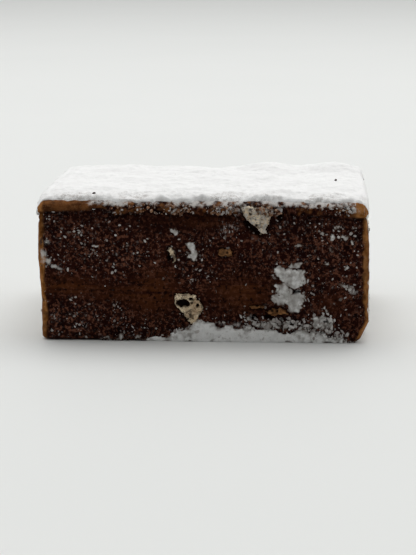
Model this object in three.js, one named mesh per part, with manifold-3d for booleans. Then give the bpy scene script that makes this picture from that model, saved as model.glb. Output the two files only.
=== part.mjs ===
// Chocolate meltaway: a block cut from a slab of soft chocolate with chopped peanuts, dusted with sugar.
// Millimetres, +Z up. The cut front face looks along -Y, and the origin is the middle of the flat base.

import Module from "manifold-3d";
import * as THREE from "three";
import { mergeVertices } from "three/addons/utils/BufferGeometryUtils.js";

const wasm = await Module();
wasm.setup();

// The block of chocolate
const WIDTH = 38;
const DEPTH = 30;
const HEIGHT = 16.3; // up to the rim, without the sugar on top
const EDGE_RADIUS = 0.9;
const BASE_RADIUS = 0.45; // the base edge is sharper than the others
const RIM_HEIGHT = 1.4; // the knife leaves a lip along the top edge
const RIM_OUT = 0.14;
const LEFT_LEAN = 0.4; // how far the left side leans in at the base
const RIGHT_FLARE = 0.4; // how far the right side leans out at the base
const CUT_WAVE = 0.12; // how far the cut faces wander from a plane
const CUT_WAVE_LENGTH = 11;

// The worn edge at the lower right
const WORN_OUT = 1.3;
const WORN_HEIGHT = 2.4;
const WORN_REACH = 4;

// The sugar on top: an even coat, and soft heaps as x, y, radius and height
const SUGAR_COAT = 0.4;
const SUGAR_WAVE = 0.14;
const SUGAR_WAVE_LENGTH = 6;
const SUGAR_FADE = 1.8; // the coat thins out over this distance from the edge
const SUGAR_HEAPS = [
  [-12, 9.5, 5.2, 0.5],
  [-3, 8.5, 4, 0.2],
  [7.2, 10.2, 3.6, 0.8],
  [14.6, 9.4, 3, 0.7],
  [-9, -1, 5, 0.35],
  [3, 1, 5, 0.4],
  [12.5, -2, 4.5, 0.4],
  [-14, -8, 3.5, 0.3],
  [-2, -9, 3.6, 0.3],
  [8.5, -9.5, 3.2, 0.25],
];

// Grid of the block's faces: lines close together along the edges, then even cells
const EDGE_STEPS = [0, 0.35, 0.8, 1.4, 1.6];
const CELL = 1.5;

// What shows on the front face, as x and z of the middle, width, height and turn in degrees
const NUT_PROUD = 0.2;
const FRONT_NUTS = [
  [-1.5, 4.1, 2.8, 3.1, 20],
  [6.5, 14, 2.6, 3.3, -15],
  [2.7, 10.7, 1.5, 1, 0],
  [-3.5, 10.5, 0.9, 2, 15],
  [9.2, 3.9, 2.6, 0.8, 0],
];
const PIT_DEPTH = 0.7;
const FRONT_PITS = [
  [-2.4, 4.6, 1.5, 1, -20],
  [5.7, 13.2, 1.8, 0.7, -42],
];
const CLUMP_PROUD = 0.22;
const FRONT_CLUMPS = [
  [9.4, 8, 3, 1.8, 25],
  [11, 8.1, 2, 1.7, -20],
  [10.6, 9.3, 1, 0.9, 0],
  [9.3, 6.1, 2, 2, 60],
  [10.7, 5.3, 2.4, 2.6, 0],
  [-1.4, 11.4, 1.4, 2.4, 20],
  [-3.2, 13, 1, 0.8, 0],
  [-17.9, 9.7, 1, 3, 20],
  [15.6, 13.4, 0.9, 0.8, 0],
  [16.2, 12.2, 0.9, 0.7, 0],
  [16.8, 6.3, 1.1, 1, 0],
  [-0.5, 1.3, 4, 2.2, 10],
  [3.5, 1.1, 5, 1.6, 0],
  [8.3, 1.9, 3.4, 1.8, -5],
  [13.7, 2.1, 2.7, 2.6, 10],
];

// The other faces get nuts and clumps by a seeded rule, one in each cell of a grid over the face
const OTHER_SEED = 7;
const NUT_COLUMNS = 3;
const CLUMP_COLUMNS = 4;
const NUT_SIZE = [1.2, 2.8];
const CLUMP_SIZE = [1, 3];
const FACE_MARGIN = 2.2; // nothing is centred nearer than this to an edge

// A face is turned about Z from the front, with its distance from the middle and its length
const FRONT = { turn: 0, out: DEPTH / 2, length: WIDTH };
const OTHER_FACES = [
  { turn: Math.PI / 2, out: WIDTH / 2, length: DEPTH },
  { turn: Math.PI, out: DEPTH / 2, length: WIDTH },
  { turn: -Math.PI / 2, out: WIDTH / 2, length: DEPTH },
];

const CHOCOLATE = { color: 0x4a2c1a, roughness: 0.6, metalness: 0 };

// A smooth uneven wave over a plane, from about -1 to 1
function wander(a, b, length) {
  const k = (2 * Math.PI) / length;
  const bent = Math.sin(k * a + 1.3 * Math.sin(0.7 * k * b));
  const slanted = Math.sin(k * (0.6 * a + 0.8 * b) + 2.1);
  const crossed = Math.sin(k * (1.1 * b - 0.5 * a) + 4.2);
  return (bent + slanted + crossed) / 3;
}

// A draw from 0 to 1 that is the same on every run
function seededDraw(seed) {
  let state = seed;
  return () => {
    state = (Math.imul(state, 1664525) + 1013904223) >>> 0;
    return state / 2 ** 32;
  };
}

// Depth of the sugar over a point of the top
function sugarDepth(x, y) {
  const inset = Math.min(WIDTH / 2 - Math.abs(x), DEPTH / 2 - Math.abs(y));
  const heaps = SUGAR_HEAPS.map(
    ([hx, hy, r, high]) =>
      high * Math.exp(-((x - hx) ** 2 + (y - hy) ** 2) / r ** 2),
  );
  const coat = SUGAR_COAT + SUGAR_WAVE * wander(x, y, SUGAR_WAVE_LENGTH);
  const fade = THREE.MathUtils.smoothstep(inset, 0, SUGAR_FADE);
  return fade * heaps.reduce((sum, h) => sum + h, coat);
}

// Positions of the grid lines along one side of the block, from end to end
function gridLines(length) {
  const inner = length - 2 * EDGE_STEPS.at(-1);
  const cells = Math.round(inner / CELL);
  const middle = Array.from(
    { length: cells - 1 },
    (_, i) => ((i + 1) * inner) / cells - inner / 2,
  );
  const low = EDGE_STEPS.map((step) => step - length / 2);
  const high = EDGE_STEPS.map((step) => length / 2 - step).reverse();
  return [...low, ...middle, ...high];
}

// Moves a point of the plain block, standing on its base, by the relief of the face it belongs to
function addRelief(point, normal) {
  const rim = point.z > HEIGHT - RIM_HEIGHT - 0.01 ? RIM_OUT : 0;
  const alongX = rim + CUT_WAVE * wander(point.y, point.z, CUT_WAVE_LENGTH);
  const alongY = rim + CUT_WAVE * wander(point.x, point.z, CUT_WAVE_LENGTH);
  const moved = point.clone();
  moved.x += normal.x * alongX;
  moved.y += normal.y * alongY;

  const low = 1 - point.z / HEIGHT;
  const lean = point.x < 0 ? -LEFT_LEAN : RIGHT_FLARE;
  moved.x += (lean * low * 2 * point.x) / WIDTH;
  const nearRight = THREE.MathUtils.smoothstep(
    point.x,
    WIDTH / 2 - WORN_REACH,
    WIDTH / 2,
  );
  moved.x -= WORN_OUT * nearRight * Math.max(0, 1 - point.z / WORN_HEIGHT);
  moved.z += Math.max(0, normal.z) * sugarDepth(point.x, point.y);
  return moved;
}

// Moves a point of the plain box, centred on the origin, onto the rounded block
function shapePoint(box) {
  const radii = new THREE.Vector3(
    EDGE_RADIUS,
    EDGE_RADIUS,
    box.z > 0 ? EDGE_RADIUS : BASE_RADIUS,
  );
  const reach = new THREE.Vector3(WIDTH, DEPTH, HEIGHT)
    .multiplyScalar(0.5)
    .sub(radii);
  const core = box.clone().clamp(reach.clone().negate(), reach);
  const normal = box.clone().sub(core).divide(radii).normalize();
  const point = normal.clone().multiply(radii).add(core);
  point.z += HEIGHT / 2;
  return addRelief(point, normal);
}

// A closed geometry as a solid that can be joined and cut
function solidFrom(geometry) {
  geometry.deleteAttribute("normal");
  geometry.deleteAttribute("uv");
  const merged = mergeVertices(geometry, 1e-4);
  return new wasm.Manifold(
    new wasm.Mesh({
      numProp: 3,
      vertProperties: new Float32Array(merged.getAttribute("position").array),
      triVerts: new Uint32Array(merged.index.array),
    }),
  );
}

function geometryFrom(solid) {
  const mesh = solid.getMesh();
  const geometry = new THREE.BufferGeometry();
  geometry.setAttribute(
    "position",
    new THREE.BufferAttribute(mesh.vertProperties, 3),
  );
  geometry.setIndex(new THREE.BufferAttribute(mesh.triVerts, 1));
  geometry.computeVertexNormals();
  return geometry;
}

function makeBlock() {
  const lines = [WIDTH, DEPTH, HEIGHT].map(gridLines);
  const box = new THREE.BoxGeometry(1, 1, 1, ...lines.map((l) => l.length - 1));
  const position = box.getAttribute("position");
  for (let i = 0; i < position.count; i++) {
    const cell = new THREE.Vector3().fromBufferAttribute(position, i);
    const onGrid = lines.map((line, axis) => {
      const index = (cell.getComponent(axis) + 0.5) * (line.length - 1);
      return line[Math.round(index)];
    });
    position.setXYZ(i, ...shapePoint(new THREE.Vector3(...onGrid)));
  }
  return solidFrom(box);
}

// An uneven lump on a face: across and up are its place there, and proud is how far it stands out
function makeLump(face, [across, up, width, height, degrees], proud) {
  const lump = new THREE.IcosahedronGeometry(1, 1);
  const position = lump.getAttribute("position");
  const normal = new THREE.Vector3(Math.sin(face.turn), -Math.cos(face.turn), 0);
  for (let i = 0; i < position.count; i++) {
    const p = new THREE.Vector3().fromBufferAttribute(position, i);
    const uneven = 1 + 0.2 * wander(3 * p.x + across, 3 * p.z + up, 4);
    position.setXYZ(i, ...p.multiplyScalar(uneven));
  }
  lump.scale(width / 2, proud, height / 2);
  lump.rotateY(THREE.MathUtils.degToRad(-degrees));
  lump.translate(across, -face.out, up);
  lump.rotateZ(face.turn);
  for (let i = 0; i < position.count; i++) {
    const p = new THREE.Vector3().fromBufferAttribute(position, i);
    position.setXYZ(i, ...addRelief(p, normal));
  }
  return solidFrom(lump);
}

// One lump in each cell of a row along the face, with its size and place drawn within the cell
function scatter(face, columns, [small, large], draw) {
  const span = face.length - 2 * FACE_MARGIN;
  const tall = HEIGHT - 2 * FACE_MARGIN;
  return Array.from({ length: columns }, (_, i) => [
    (span * (i + draw())) / columns - span / 2,
    FACE_MARGIN + tall * draw(),
    small + (large - small) * draw(),
    small + (large - small) * draw(),
    180 * draw(),
  ]);
}

function makeMeltaway() {
  const draw = seededDraw(OTHER_SEED);
  let solid = makeBlock();
  for (const nut of FRONT_NUTS) {
    solid = solid.add(makeLump(FRONT, nut, NUT_PROUD));
  }
  for (const pit of FRONT_PITS) {
    solid = solid.subtract(makeLump(FRONT, pit, PIT_DEPTH));
  }
  for (const clump of FRONT_CLUMPS) {
    solid = solid.add(makeLump(FRONT, clump, CLUMP_PROUD));
  }
  for (const face of OTHER_FACES) {
    for (const nut of scatter(face, NUT_COLUMNS, NUT_SIZE, draw)) {
      solid = solid.add(makeLump(face, nut, NUT_PROUD));
    }
    for (const clump of scatter(face, CLUMP_COLUMNS, CLUMP_SIZE, draw)) {
      solid = solid.add(makeLump(face, clump, CLUMP_PROUD));
    }
  }
  return solid;
}

// Puts the middle of the base under the middle of the outline
function centred(geometry) {
  geometry.computeBoundingBox();
  const middle = geometry.boundingBox.getCenter(new THREE.Vector3());
  geometry.translate(-middle.x, -middle.y, -geometry.boundingBox.min.z);
  return geometry;
}

const meltaway = new THREE.Mesh(
  centred(geometryFrom(makeMeltaway())),
  new THREE.MeshStandardMaterial(CHOCOLATE),
);
meltaway.name = "meltaway";

const group = new THREE.Group();
group.add(meltaway);

export default group;
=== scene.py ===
import math

import bmesh
import bpy
import numpy as np
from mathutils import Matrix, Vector


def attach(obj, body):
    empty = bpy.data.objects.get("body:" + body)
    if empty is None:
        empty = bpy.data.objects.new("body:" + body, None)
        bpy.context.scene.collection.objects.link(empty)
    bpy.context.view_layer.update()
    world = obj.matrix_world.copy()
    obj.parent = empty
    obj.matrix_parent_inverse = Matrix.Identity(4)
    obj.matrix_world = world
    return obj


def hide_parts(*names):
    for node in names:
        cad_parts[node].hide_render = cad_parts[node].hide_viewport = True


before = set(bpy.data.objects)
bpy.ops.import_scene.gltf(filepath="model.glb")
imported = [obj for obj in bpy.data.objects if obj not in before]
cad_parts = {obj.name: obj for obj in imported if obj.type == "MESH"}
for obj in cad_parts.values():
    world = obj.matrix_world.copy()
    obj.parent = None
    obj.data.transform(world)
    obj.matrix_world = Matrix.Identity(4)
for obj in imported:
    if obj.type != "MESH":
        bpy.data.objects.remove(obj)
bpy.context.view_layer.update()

MM = 0.001

# The block in millimetres, the same as the solid's; heaps are x, y, reach and height
WIDTH, DEPTH, HEIGHT = 38.0, 30.0, 16.3
CORNER = 0.9
BASE_RADIUS = 0.45
TOP_RADIUS = 1.15
RIM_HEIGHT, RIM_OUT = 1.4, 0.14
LEFT_LEAN, RIGHT_FLARE = 0.4, 0.4
CUT_WAVE, CUT_WAVE_LENGTH = 0.12, 11.0
WORN_OUT, WORN_HEIGHT, WORN_REACH = 1.3, 2.4, 4.0
SUGAR_COAT, SUGAR_WAVE, SUGAR_WAVE_LENGTH, SUGAR_FADE = 0.4, 0.14, 6.0, 1.8
SUGAR_HEAPS = [
    (-12, 9.5, 5.2, 0.5), (-3, 8.5, 4, 0.2), (7.2, 10.2, 3.6, 0.8), (14.6, 9.4, 3, 0.7),
    (-9, -1, 5, 0.35), (3, 1, 5, 0.4), (12.5, -2, 4.5, 0.4),
    (-14, -8, 3.5, 0.3), (-2, -9, 3.6, 0.3), (8.5, -9.5, 3.2, 0.25),
]
# Loose powder piled up or worn away along the back of the top, in the same terms
LOOSE_HEAPS = [
    (15.7, 12.3, 2.6, 0.5), (0.8, 13.6, 2.4, -0.3), (-17.8, 13.4, 3.2, -0.3), (-9, 13.8, 5.5, -0.13),
]
# Dark crumbs lying on the sugar: x, y, size
TOP_CRUMBS = [(15.5, -1.5, 0.55), (-12.6, -12.4, 0.4)]
# The solid's outline is centred on the origin; this is how far its block was moved for that
CENTRED_BY = np.array([-0.201, 0.035, 0.0])

# Faces in order; distance along a face runs from left to right, seen from outside
FRONT, RIGHT, BACK, LEFT = range(4)
OUTWARD = np.array([(0, -1, 0), (1, 0, 0), (0, 1, 0), (-1, 0, 0)], float)
LENGTH = (WIDTH, DEPTH, WIDTH, DEPTH)

# The rim along the front's top edge: how far down it reaches, from end to end
RIM_X = (-19, -13.5, -12, -10.5, -9.3, -8, -6.5, -4, -1, 1, 4, 8, 8.6, 9.4, 10, 11, 13, 15, 17, 19)
RIM_DOWN = (
    1.2, 1.1, 0.9, 1.1, 1.6, 1.2, 0.95, 1.2, 1.3, 1.4,
    1.35, 1.25, 0.4, 0.4, 1.2, 1.45, 1.35, 1.45, 1.6, 1.7,
)
CRUMBLY_FROM, CRUMBLY_TO = (-13.9, -12), (16.4, 17.3)
# Where sugar lies on the front's rim: x, reach and amount
RIM_DUSTY = [(2.0, 2.4, 0.5), (-8.8, 1.3, 0.35), (-4.5, 1.0, 0.2), (13.0, 1.2, 0.2), (16.4, 0.8, 0.5)]
# Sugar that has come down over the top of the front's rim, from end to end
FROST_X = (-19, -13.8, -13, -9, -4, 0, 4, 8, 10, 14, 16, 17.5, 18.3, 19)
FROST = (0.0, 0.05, 0.5, 0.5, 0.45, 0.65, 0.7, 0.65, 0.8, 0.75, 0.65, 0.6, 0.15, 0.0)

# Nuts on the front, as outlines in x and z, and how much powder is on each
NUTS = [
    ([(-3.2, 5.5), (-2.5, 5.6), (-1.6, 5.7), (-0.8, 5.3), (-0.1, 4.7), (0.1, 4), (-0.2, 3.1),
      (-0.9, 2.1), (-1.8, 2.5), (-2.4, 3.5), (-3.1, 4.4)], 0.15),
    ([(4.3, 15.9), (7.9, 15.9), (7.8, 14.7), (7.7, 13.7), (7.5, 12.7), (6.8, 12.7), (6.2, 13.4),
      (5.3, 14.2), (4.6, 14.9)], 1.0),
    ([(-4, 11), (-3.6, 11.1), (-3.2, 10.6), (-3, 9.8), (-2.9, 9.2), (-3.2, 9.1), (-3.5, 9.8),
      (-3.9, 10.4)], 0.3),
]
AMBER_NUTS = [
    ([(1.9, 10.2), (1.9, 10.8), (2.3, 11.1), (2.7, 10.9), (3.2, 11.1), (3.5, 10.7), (3.5, 10.2),
      (3, 10), (2.3, 10)], 0.0),
    ([(7.2, 3.5), (7.9, 4), (8.8, 4), (9.6, 3.8), (9.9, 3.4), (9, 3.2), (8, 3.1)], 0.0),
    ([(5.5, 4.2), (6.4, 4.3), (7.3, 4.2), (7.3, 3.9), (6.4, 3.9), (5.6, 3.9)], 0.0),
]
# Gaps on the front, sunk and painted black as shade: x, z, width, height, turn
HOLES = [
    (-2.2, 4.5, 1.7, 0.95, -12), (-0.5, 4.2, 0.5, 0.5, 0), (-1.2, 5, 0.5, 0.35, 0),
    (5.7, 13.3, 2.6, 0.75, -41), (-3.8, 9.8, 0.5, 1.5, 8), (8.9, 15, 0.9, 1.5, 12), (5.9, 2.9, 1, 0.6, 0),
    (7.6, 2.9, 1.3, 0.5, -10), (9.2, 2.7, 1.1, 0.5, 10), (10.3, 2.2, 0.7, 0.5, 0),
    (13.6, 1.1, 0.7, 0.35, 20), (14.1, 2.6, 0.5, 0.4, 0), (10.8, 6, 0.9, 0.45, 10),
]
# Sugar stuck to the front in patches: x, z, width, height, turn
PATCHES = [
    (10.8, 9.1, 1.1, 1.1, 20), (10.1, 8.4, 1.2, 0.7, 45), (9.3, 7.9, 1.9, 2, 0), (11.1, 7.6, 2, 1.8, 20),
    (10.2, 7.5, 1.6, 2, 0), (10.6, 6.8, 1.1, 1.2, 0), (9.5, 6.3, 1.5, 1.4, 0), (8.9, 5.2, 1.4, 2, -8),
    (8.3, 4.8, 0.75, 0.55, 0), (9.9, 5.2, 1.4, 2, 0), (11, 5.2, 1.8, 1.6, 0), (10.5, 4.3, 1.6, 1.3, 0),
    (-1.2, 11.2, 1.1, 1.5, 10), (-1, 10.6, 0.9, 1, 20), (-0.9, 10.3, 1.3, 1.1, 25),
    (-0.5, 9.8, 0.6, 0.5, 0), (-3, 12.9, 1.1, 0.85, 10), (-2.9, 15.1, 1.3, 0.35, 0),
    (-17.8, 11.5, 0.6, 0.5, 0), (-16.5, 8.4, 0.9, 0.25, -15), (13.7, 12.8, 0.7, 0.8, 0),
    (14.9, 12.3, 0.7, 0.5, 40), (16.1, 12.2, 1, 0.8, 0), (15.5, 13.4, 0.7, 0.6, 0),
    (17.3, 13.3, 0.6, 0.4, 0), (17, 11.9, 0.5, 0.6, 0), (11.1, 11.4, 1.1, 0.5, 0),
    (12.4, 10.1, 0.9, 0.35, 15), (13.1, 10.8, 0.4, 0.5, 0), (14.4, 9.2, 0.7, 0.5, 20),
    (16.4, 8.6, 0.4, 0.7, 0), (16.1, 6.5, 1.4, 0.55, -28), (16.7, 6.3, 1, 0.7, 30), (14, 4, 0.5, 0.5, 0),
    (13.7, 2.4, 2.2, 2, 0), (12.8, 2.9, 1, 1, 0), (14.6, 2.3, 1.1, 1.2, 0), (15.2, 0.7, 1.4, 0.7, 0),
    (-9.6, 0.5, 0.9, 0.5, 0), (-7.6, 0.6, 0.8, 0.5, 20), (-11.2, 0.4, 0.6, 0.4, 0),
    (16.6, 0.9, 0.8, 0.6, 30), (5.5, 2.7, 0.8, 0.9, 0), (6.4, 2.2, 1.5, 0.7, 10), (8.1, 2.1, 1.9, 0.75, -5),
    (9.7, 2.1, 1.5, 0.8, 15), (10.7, 1.9, 0.9, 0.7, 0),
]
# Sugar smeared along the foot of the front, in the same terms
SMEARS = [
    (-0.2, 0.9, 3.4, 3.4, 5), (-2.5, 0.6, 3.6, 2.1, 20), (-5, 0.2, 3.8, 1.3, 5), (2.2, 0.7, 5.2, 2.8, -6),
    (4.9, 0.6, 5.5, 2.5, -2), (8, 0.6, 5.5, 2.2, 0), (11, 0.6, 5.5, 2.2, 3), (13.2, 0.5, 3, 1.9, 0),
    (14.6, 0.4, 2.2, 1.3, 0), (15.8, 0.3, 1.7, 0.95, 8), (16.7, 0.2, 1.2, 0.7, 0),
    (17.4, 0.2, 0.8, 0.45, 0),
]
# Thin smudges of it, and where it has crumbled: x, z, reach x, reach z, amount
SMUDGES = [
    (-17.8, 11.5, 0.4, 0.45, 0.9), (-18.1, 10.3, 0.25, 0.6, 0.8), (-17.8, 9.3, 0.35, 0.4, 0.9),
    (-17.2, 8.7, 0.55, 0.25, 0.85), (-16.5, 8.4, 0.5, 0.2, 0.7), (3.4, 13.4, 1.1, 0.7, 0.5),
    (2.2, 13, 0.6, 0.5, 0.35), (17.2, 6.1, 0.7, 0.6, 0.6), (-4.2, 12.4, 0.4, 0.8, 0.2),
    (12.6, 3.8, 1.4, 0.5, 0.25), (8.2, 14.6, 0.5, 0.5, 0.3), (-15.8, 13.4, 0.5, 0.4, 0.25),
    (-9.9, 10.3, 1, 0.4, 0.45), (1.6, 2.2, 2.6, 0.55, 0.34), (5.4, 1.9, 2.6, 0.6, 0.36),
    (-3.6, 1.4, 1.5, 0.45, 0.3), (9, 2, 2.8, 0.9, 0.36), (13.2, 2.1, 1.9, 1.3, 0.36),
    (15.8, 0.9, 1.4, 0.7, 0.4), (-8.5, 0.5, 2.2, 0.35, 0.34), (17.1, 15.5, 0.45, 0.5, 0.6),
    (4, 15.3, 1, 0.7, 0.45), (18.1, 15.3, 0.8, 0.75, 0.42),
]
CRUMBLED = [(13.8, 2.2, 1.8, 1.6, 0.65), (8.3, 2.3, 2.6, 0.7, 0.5)]
# Crumbs of sugar in heaps on the front: x, z, reach x, reach z, how many
HEAPED = [
    (13.5, 2, 0.85, 0.8, 70), (8.3, 2.3, 1.6, 0.4, 55), (5.3, 2.6, 0.4, 0.4, 10), (15.3, 0.9, 0.9, 0.4, 26),
    (10.9, 1.9, 0.8, 0.3, 18), (-2.4, 1.5, 0.8, 0.3, 6), (17.1, 15.6, 0.25, 0.3, 14),
    (16.3, 15.9, 0.25, 0.15, 5),
]
# Where fine sugar lies thick on the front, and where the knife left it smooth, in the same terms as smudges
DUSTY = [
    (-13, 12.8, 5, 2.5, 0.3), (-9, 9.8, 4, 2, 0.3), (15, 11.8, 4, 3, 0.25), (-15, 2.2, 3, 1.6, 0.65),
    (-7, 2.1, 5, 1.5, 0.35), (3.2, 13.7, 1.6, 1, 0.7), (13, 6.6, 4, 3, 0.05), (-1, 7.7, 2, 1, 0.3),
    (-4, 14.2, 8, 1.4, -0.35),
]
SMOOTH = [
    (-15.5, 6.4, 3.2, 1, 0.9), (-5.5, 5.6, 2.6, 2.6, 0.8), (4.6, 5.8, 3.2, 1.9, 0.8),
    (-10, 5.6, 3, 0.8, 0.5), (14.5, 4.6, 2, 1.5, 0.3), (0, 14.1, 4, 0.9, 0.5),
]

# The rule by which the solid places nuts and clumps on its other faces
OTHER_SEED = 7
NUT_COLUMNS, NUT_SIZE = 3, (1.2, 2.8)
CLUMP_COLUMNS, CLUMP_SIZE = 4, (1.0, 3.0)
FACE_MARGIN = 2.2

# Grids in millimetres: round the block face by face, over the sugar, and over what is stuck to the faces
BODY_STEPS = (0.135, 0.25, 0.22, 0.25)
SUGAR_STEP = 0.155
FRONT_CRUST_STEP, CRUST_STEP = 0.065, 0.12
NUT_STEP = 0.06
# How far a grid on a face keeps from the face's ends, foot and top
GRID_ENDS, GRID_FOOT, GRID_TOP = 0.3, 0.02, 0.4

# Seeds of the random draws
LUMP_DRAWS, GRAIN_DRAWS, CRUMB_DRAWS = 3, 5, 8


# Fields over the surface

# Farther than any distance that counts, and how far a clod reaches beside its cell
FAR = 9.0
CLOD_REACH = 0.75
# Odd numbers and shifts that stir the bits of a cell's place and of a seed
AXIS_STIR = np.array([0x9E3779B1, 0x85EBCA77, 0xC2B2AE3D], np.uint32)
SEED_STIR, STIRS, LAST_SHIFT = 0x27D4EB2F, [(15, 0x2C1B3C6D), (12, 0x297A2D39)], 15
WORD = 2**32


def smooth(x, low, high):
    """0 at low and 1 at high, with a soft start and end, and level beyond them."""
    t = np.clip((x - low) / (high - low), 0, 1)
    return t * t * (3 - 2 * t)


def lattice(cell, seed):
    """A repeatable number from 0 to 1 for each whole-number cell."""
    place = cell.astype(np.int64).astype(np.uint32) * AXIS_STIR
    h = np.bitwise_xor.reduce(place, axis=1) ^ np.uint32(seed * SEED_STIR % WORD)
    for shift, stir in STIRS:
        h = (h ^ h >> np.uint32(shift)) * np.uint32(stir)
    return (h ^ h >> np.uint32(LAST_SHIFT)) / float(WORD)


def noise(p, size, seed):
    """Smooth noise from -1 to 1 with features of that size; size may differ along each axis."""
    q = p / size
    cell = np.floor(q)
    f = q - cell
    f = f * f * f * (f * (f * 6 - 15) + 10)
    total = 0
    for corner in np.ndindex(2, 2, 2):
        step = np.array(corner)
        weight = np.prod(np.where(step == 1, f, 1 - f), axis=1)
        total = total + weight * lattice(cell + step, seed)
    return 2 * total - 1


def fractal(p, size, octaves, seed):
    """Noise in octaves, each half as large and as strong as the one before."""
    size = np.asarray(size, float)
    return sum(noise(p, size / 2**k, seed + k) / 2**k for k in range(octaves)) / 1.5


def clods(p, size, seed):
    """1 in the middle of scattered round clods, 0 between them."""
    q = p / size
    cell = np.floor(q)
    best = np.full(len(p), FAR)
    for near in np.ndindex(3, 3, 3):
        c = cell + np.array(near) - 1
        spot = c + np.stack([lattice(c, seed + k) for k in range(3)], axis=1)
        best = np.minimum(best, np.sum((spot - q) ** 2, axis=1))
    return np.clip(1 - np.sqrt(best) / CLOD_REACH, 0, 1)


def flakes(a, z, size, seed):
    """The middle of each point's flake, a draw for that flake, and how near its edge the point is."""
    q = np.column_stack([a, z]) / size
    cell = np.column_stack([np.floor(q), np.zeros(len(a))])
    first, second = np.full(len(a), FAR), np.full(len(a), FAR)
    middle, draw = np.zeros((len(a), 2)), np.zeros(len(a))
    for near in np.ndindex(3, 3):
        c = cell + [near[0] - 1, near[1] - 1, 0]
        spot = c[:, :2] + np.stack([lattice(c, seed), lattice(c, seed + 1)], axis=1)
        far = np.linalg.norm(spot - q, axis=1)
        closer = far < first
        second = np.where(closer, first, np.minimum(second, far))
        first = np.where(closer, far, first)
        middle = np.where(closer[:, None], spot, middle)
        draw = np.where(closer, lattice(c, seed + 2), draw)
    return middle * size, draw, (second - first) * size


def bent(values, flat, bends, seed, ragged=1):
    """Values pushed about by noise; each bend is how far and over what size."""
    return values + ragged * sum(by * noise(flat, size, seed + k) for k, (by, size) in enumerate(bends))


def wander(a, b, length):
    """The solid's long uneven waves, from -1 to 1."""
    k = 2 * np.pi / length
    curved = np.sin(k * a + 1.3 * np.sin(0.7 * k * b))
    slanted = np.sin(k * (0.6 * a + 0.8 * b) + 2.1)
    crossed = np.sin(k * (1.1 * b - 0.5 * a) + 4.2)
    return (curved + slanted + crossed) / 3


def ellipse_field(a, z, shapes):
    """About how far inside the nearest of the ellipses a point is, in millimetres."""
    best = np.full(len(a), -FAR)
    for x, up, w, h, degrees in shapes:
        t = math.radians(degrees)
        u = (a - x) * math.cos(t) + (z - up) * math.sin(t)
        v = (z - up) * math.cos(t) - (a - x) * math.sin(t)
        r = np.sqrt((2 * u / w) ** 2 + (2 * v / h) ** 2)
        best = np.maximum(best, (1 - r) * min(w, h) / 2)
    return best


def polygon_field(a, z, corners):
    """How far inside an outline a point is, in millimetres, and less than 0 outside it."""
    far, inside = np.full(len(a), FAR), np.zeros(len(a), bool)
    for (x0, z0), (x1, z1) in zip(corners, corners[1:] + corners[:1]):
        dx, dz = x1 - x0, z1 - z0
        t = np.clip(((a - x0) * dx + (z - z0) * dz) / (dx * dx + dz * dz), 0, 1)
        far = np.minimum(far, np.hypot(a - x0 - t * dx, z - z0 - t * dz))
        if dz != 0:
            inside ^= ((z0 > z) != (z1 > z)) & (a < x0 + (z - z0) * dx / dz)
    return np.where(inside, far, -far)


def nuts_field(a, z, nuts):
    return np.max([polygon_field(a, z, corners) for corners, _ in nuts], axis=0)


def spots(a, z, places):
    """Soft spots on a face, added up."""
    return sum(g * np.exp(-(((a - x) / rx) ** 2) - ((z - up) / rz) ** 2) for x, up, rx, rz, g in places)


def heaped(x, y, heaps):
    """Height of round heaps at a place on the top."""
    return sum(h * np.exp(-((x - hx) ** 2 + (y - hy) ** 2) / r**2) for hx, hy, r, h in heaps)


def sugar_depth(x, y):
    """Depth of the coat of sugar, as the solid has it."""
    inset = np.minimum(WIDTH / 2 - np.abs(x), DEPTH / 2 - np.abs(y))
    depth = SUGAR_COAT + SUGAR_WAVE * wander(x, y, SUGAR_WAVE_LENGTH) + heaped(x, y, SUGAR_HEAPS)
    return smooth(inset, 0, SUGAR_FADE) * depth


# Places on the block

# The solid's own rule for draws, and what else lies on the faces other than the front
DRAW_TIMES, DRAW_PLUS = 1664525, 1013904223
NUT_CORNERS, OTHER_NUT_POWDER = 7, 0.35
SMALL_PATCHES, CLUMP_PARTS = 14, 4


def seeded_draws(seed):
    """The draws from 0 to 1 that the solid's own rule makes."""
    state = seed
    while True:
        state = (state * DRAW_TIMES + DRAW_PLUS) % WORD
        yield state / WORD


def scatter(side, columns, sizes, draws):
    """Lumps in a row along the face, as the solid has them: along, up, width, height and turn."""
    span, tall = LENGTH[side] - 2 * FACE_MARGIN, HEIGHT - 2 * FACE_MARGIN
    small, large = sizes
    lumps = []
    for i in range(columns):
        along = span * (i + next(draws)) / columns - span / 2
        up = FACE_MARGIN + tall * next(draws)
        w = small + (large - small) * next(draws)
        h = small + (large - small) * next(draws)
        lumps.append((along, up, w, h, 180 * next(draws)))
    return lumps


def nut_outline(lump, rng):
    along, up, w, h, degrees = lump
    turn = math.radians(degrees)
    corners = []
    for k in range(NUT_CORNERS):
        angle = 2 * math.pi * (k + 0.7 * rng.random()) / NUT_CORNERS
        reach = 0.75 + 0.35 * rng.random()
        u, v = reach * w / 2 * math.cos(angle), reach * h / 2 * math.sin(angle)
        x = along + u * math.cos(turn) - v * math.sin(turn)
        z = up + u * math.sin(turn) + v * math.cos(turn)
        corners.append((x, z))
    return corners


def break_up(clump, rng):
    """A clump as a few overlapping ellipses within its outline."""
    along, up, w, h, degrees = clump
    parts = [(along, up, 0.75 * w, 0.75 * h, degrees)]
    for _ in range(CLUMP_PARTS):
        angle, size = 2 * math.pi * rng.random(), 0.3 + 0.35 * rng.random()
        x, z = along + 0.36 * w * math.cos(angle), up + 0.36 * h * math.sin(angle)
        parts.append((x, z, size * w, size * h, degrees + 60 * rng.random()))
    return parts


def small_patch(side, rng):
    along = LENGTH[side] * (rng.random() - 0.5) * 0.9
    up = 0.8 + (HEIGHT - 3) * rng.random()
    w, h = 0.4 + 0.8 * rng.random(2) ** 2
    return along, up, w, h, 180 * rng.random()


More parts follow.
